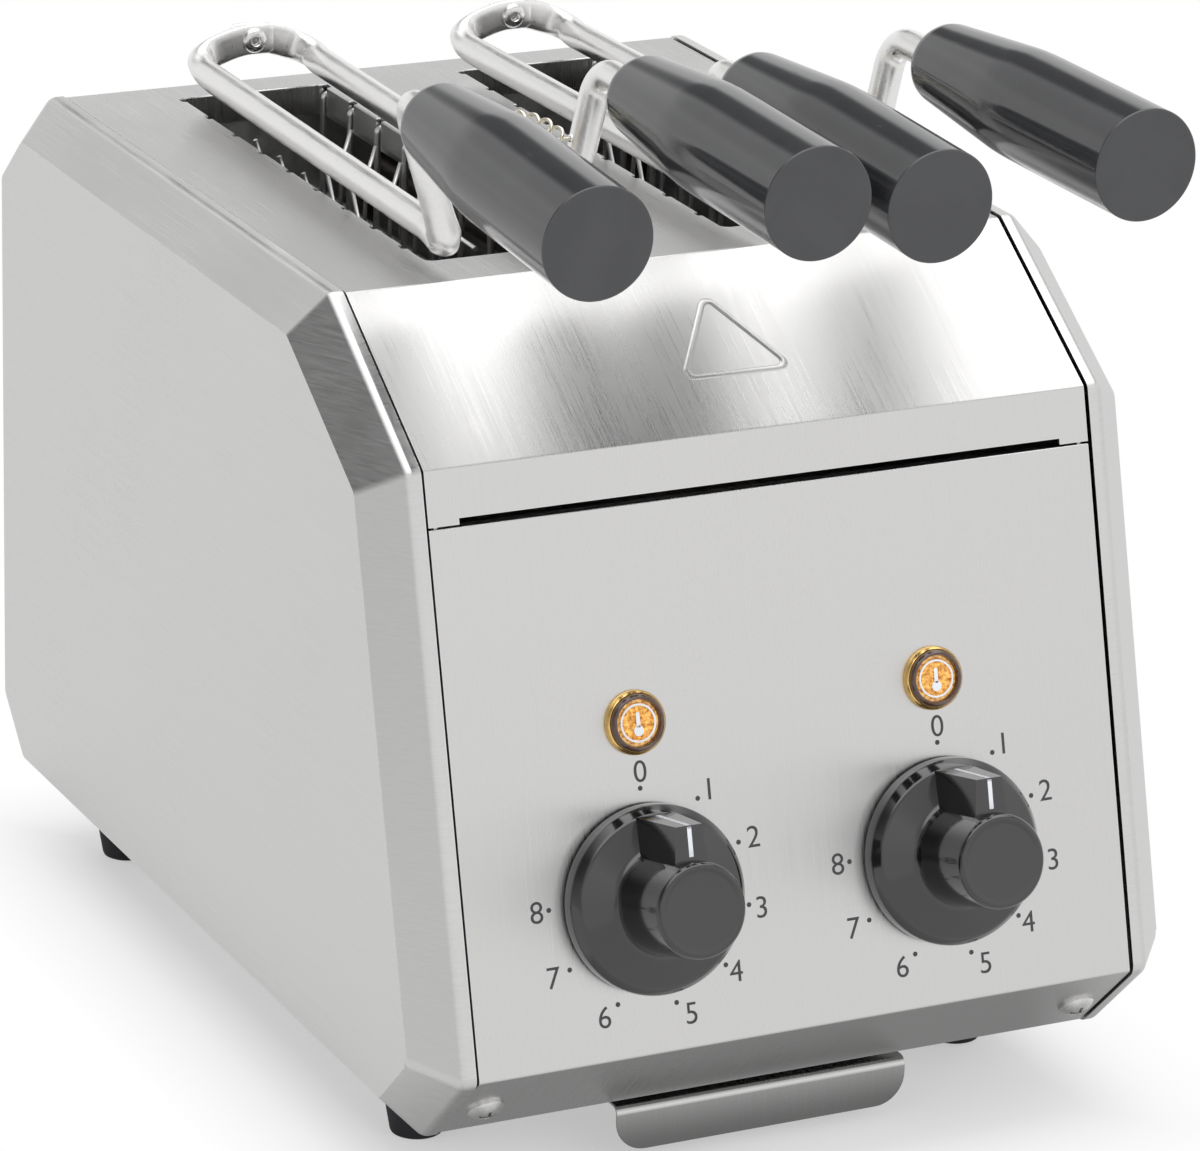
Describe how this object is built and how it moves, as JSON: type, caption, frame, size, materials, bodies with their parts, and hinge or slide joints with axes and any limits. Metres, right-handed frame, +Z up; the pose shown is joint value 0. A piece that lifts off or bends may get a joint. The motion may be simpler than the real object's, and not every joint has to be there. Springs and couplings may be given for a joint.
{
  "type": "clamp toaster",
  "caption": "Sheet steel clamp toaster with sloping control panel, rotary dials, amber lamps, spring tongs with black handles in its slots and a pull-out crumb tray.",
  "frame": {"origin": "on the resting surface, under the middle of the bounding box", "axes": "+X to the right seen from the front, +Y to the back, +Z up; the dials and handles are at -Y"},
  "size_m": [0.2316, 0.375, 0.3051],
  "materials": {
    "brushed_stainless": "brushed satin",
    "plain_steel": "mill finish",
    "bright_reflector": "bright",
    "chromed_wire": "bright plated wire",
    "satin_tube": "satin tube",
    "handle_plastic": "smooth gloss",
    "spring_steel": "bright drawn wire",
    "rivet_steel": "plain bright",
    "foot_rubber": "matt",
    "heater_sheath": "heat-darkened",
    "ceramic_white": "fired ceramic",
    "lamp_brass": "polished",
    "lamp_amber": "translucent amber",
    "black_plastic": "moulded matt",
    "shaft_steel": "turned",
    "cream_plastic": "moulded",
    "wire_sleeve": "heat-proof sleeve"
  },
  "bodies": {
    "casing": {"base_plate": "plain_steel", "cable_gland": "black_plastic", "control_panel": "brushed_stainless", "feet": "foot_rubber", "foot_screws": "rivet_steel", "front_partition": "plain_steel", "front_screws": "rivet_steel", "gland_nut": "black_plastic", "guard_left_inner": "chromed_wire", "guard_left_outer": "chromed_wire", "guard_right_inner": "chromed_wire", "guard_right_outer": "chromed_wire", "heater_bushes": "ceramic_white", "heater_left_inner": "heater_sheath", "heater_left_outer": "heater_sheath", "heater_right_inner": "heater_sheath", "heater_right_outer": "heater_sheath", "heater_supports": "heater_sheath", "internal_wiring": "wire_sleeve", "lamp_bodies": "lamp_brass", "lamp_lenses": "lamp_amber", "rear_panel": "plain_steel", "rear_partition": "plain_steel", "rear_screws": "rivet_steel", "reflector_centre": "bright_reflector", "reflector_left": "bright_reflector", "reflector_right": "bright_reflector", "regulator_left": "black_plastic", "regulator_right": "black_plastic", "shell_spacers": "plain_steel", "side_plate_left": "plain_steel", "side_plate_right": "plain_steel", "side_shell_left": "brushed_stainless", "side_shell_right": "brushed_stainless", "slot_cross_wires": "chromed_wire", "terminal_block": "cream_plastic", "top_casing": "brushed_stainless", "tray_rails": "plain_steel"},
    "knob_left": {"knob_left": "handle_plastic", "regulator_shaft_left": "shaft_steel"},
    "knob_right": {"knob_right": "handle_plastic", "regulator_shaft_right": "shaft_steel"},
    "crumb_tray": {"crumb_tray": "brushed_stainless"},
    "tong_left": {"tong_left_rivet": "rivet_steel", "tong_left_spring": "spring_steel"},
    "tong_left_jaw_left": {"tong_left_arm_left": "satin_tube", "tong_left_cage_left": "chromed_wire", "tong_left_handle_left": "handle_plastic"},
    "tong_left_jaw_right": {"tong_left_arm_right": "satin_tube", "tong_left_cage_right": "chromed_wire", "tong_left_handle_right": "handle_plastic"},
    "tong_right": {"tong_right_rivet": "rivet_steel", "tong_right_spring": "spring_steel"},
    "tong_right_jaw_left": {"tong_right_arm_left": "satin_tube", "tong_right_cage_left": "chromed_wire", "tong_right_handle_left": "handle_plastic"},
    "tong_right_jaw_right": {"tong_right_arm_right": "satin_tube", "tong_right_cage_right": "chromed_wire", "tong_right_handle_right": "handle_plastic"}
  },
  "joints": [
    {"name": "knob_left_turn", "type": "hinge", "parent": "casing", "child": "knob_left", "pos_m": [-0.0454, -0.15246, 0.08798], "axis": [0, 0.9669, -0.2551], "range_deg": [0, 272]},
    {"name": "knob_right_turn", "type": "hinge", "parent": "casing", "child": "knob_right", "pos_m": [0.0454, -0.15246, 0.08798], "axis": [0, 0.9669, -0.2551], "range_deg": [0, 272]},
    {"name": "crumb_tray_slide", "type": "slide", "parent": "casing", "child": "crumb_tray", "axis": [0, -1, 0], "range_m": [0, 0.24]},
    {"name": "tong_left_lift", "type": "slide", "parent": "casing", "child": "tong_left", "axis": [0, 0, 1], "range_m": [0, 0.15]},
    {"name": "tong_left_jaw_left_swing", "type": "hinge", "parent": "tong_left", "child": "tong_left_jaw_left", "pos_m": [-0.0443, 0.13319, 0.2559], "axis": [0.0157, 0.9999, 0], "range_deg": [0, 1.8], "stiffness_Nm_per_rad": 1.5, "springref_deg": -5.73, "deforming": ["tong_left_spring"]},
    {"name": "tong_left_jaw_right_swing", "type": "hinge", "parent": "tong_left", "child": "tong_left_jaw_right", "pos_m": [-0.0443, 0.13319, 0.2559], "axis": [0.0157, 0.9999, 0], "range_deg": [-1.8, 0], "stiffness_Nm_per_rad": 1.5, "springref_deg": 5.73},
    {"name": "tong_right_lift", "type": "slide", "parent": "casing", "child": "tong_right", "axis": [0, 0, 1], "range_m": [0, 0.15]},
    {"name": "tong_right_jaw_left_swing", "type": "hinge", "parent": "tong_right", "child": "tong_right_jaw_left", "pos_m": [0.04056, 0.13317, 0.2559], "axis": [-0.0244, 0.9997, 0], "range_deg": [0, 1.8], "stiffness_Nm_per_rad": 1.5, "springref_deg": -5.73, "deforming": ["tong_right_spring"]},
    {"name": "tong_right_jaw_right_swing", "type": "hinge", "parent": "tong_right", "child": "tong_right_jaw_right", "pos_m": [0.04056, 0.13317, 0.2559], "axis": [-0.0244, 0.9997, 0], "range_deg": [-1.8, 0], "stiffness_Nm_per_rad": 1.5, "springref_deg": 5.73}
  ],
  "couplings": [
    {"joint": "tong_left_jaw_right_swing", "follows": "tong_left_jaw_left_swing", "ratio": -1},
    {"joint": "tong_right_jaw_right_swing", "follows": "tong_right_jaw_left_swing", "ratio": -1}
  ]
}
